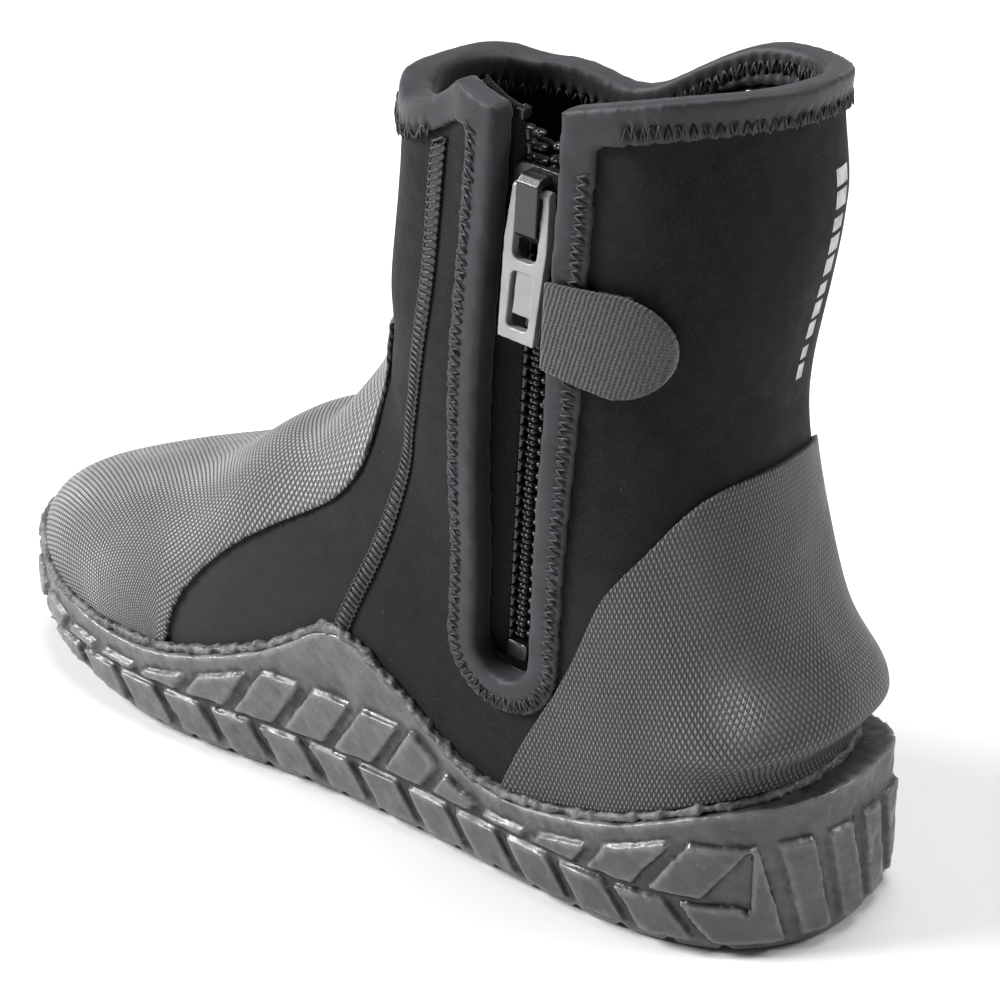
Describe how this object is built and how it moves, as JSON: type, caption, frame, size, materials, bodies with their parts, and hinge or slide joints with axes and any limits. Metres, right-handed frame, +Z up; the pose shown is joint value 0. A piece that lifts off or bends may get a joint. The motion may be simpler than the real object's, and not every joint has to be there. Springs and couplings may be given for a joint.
{
  "type": "neoprene dive boot",
  "caption": "Ankle-high neoprene wetsuit boot with moulded rubber sole, textured toe and heel caps, side zip with swinging puller and felt closure tab; right foot, hollow for foot and leg.",
  "frame": {"origin": "On the ground under the middle of the boot's bounding box.", "axes": "+X from heel to toe, +Y to the inner (zip) side of this right boot, +Z up."},
  "size_m": [0.2952, 0.1016, 0.2263],
  "materials": {
    "sole_rubber": "grey moulded rubber, semi-matt, scuffed edges",
    "cement": "uneven cement bead, slightly shiny",
    "neoprene": "nylon-faced neoprene, very dark, matt, fine knit",
    "board": "pressed fibre",
    "footbed_foam": "fabric-topped foam",
    "toe_rubber": "mid grey rubber print with fine crossed ridges",
    "heel_rubber": "dark grey rubber print with small diamonds",
    "thread": "covered seam with zigzag thread",
    "binding": "bluish dark grey knit binding",
    "zip_tape": "black woven tape",
    "zip_teeth": "black moulded teeth, glossy",
    "gusset": "thin neoprene flap",
    "tab_felt": "ribbed loop felt, fuzzy",
    "label": "white woven label, blank",
    "slider": "black lacquered slider, worn at the edges",
    "puller": "light grey moulded puller, satin",
    "hook": "black hook tape"
  },
  "bodies": {
    "boot": {"outsole": "sole_rubber", "rim_bead": "cement", "sock_bottom": "neoprene", "insole_board": "board", "footbed": "footbed_foam", "front_panel": "neoprene", "toe_panel": "neoprene", "medial_quarter": "neoprene", "lateral_quarter": "neoprene", "toe_cap": "toe_rubber", "heel_cap": "heel_rubber", "heel_ledge": "heel_rubber", "seam_cover_medial": "thread", "seam_cover_lateral": "thread", "collar_binding": "binding", "zip_binding": "binding", "zip_tape_front": "zip_tape", "zip_tape_rear": "zip_tape", "zip_teeth_front": "zip_teeth", "zip_teeth_rear": "zip_teeth", "zip_bottom_stop": "zip_teeth", "zip_top_stops": "zip_teeth", "zip_gusset": "gusset", "tab_root": "tab_felt", "size_label": "label"},
    "slider": {"slider_body": "slider", "slider_crown": "slider"},
    "puller": {"zip_pull": "puller"},
    "tab": {"closure_tab": "tab_felt", "hook_patch": "hook"}
  },
  "joints": [
    {"name": "slider_travel", "type": "slide", "parent": "boot", "child": "slider", "axis": [-0.0835, 0.0481, 0.9953], "range_m": [-0.094, 0.005], "deforming": ["zip_teeth_front", "zip_teeth_rear"]},
    {"name": "puller_swing", "type": "hinge", "parent": "slider", "child": "puller", "pos_m": [-0.0707, 0.04447, 0.19776], "axis": [0.9965, 0.004, 0.0834], "range_deg": [-4, 165]},
    {"name": "tab_fold", "type": "hinge", "parent": "boot", "child": "tab", "pos_m": [-0.07821, 0.0493, 0.16726], "axis": [0.0835, -0.0481, -0.9953], "range_deg": [0, 165]}
  ]
}
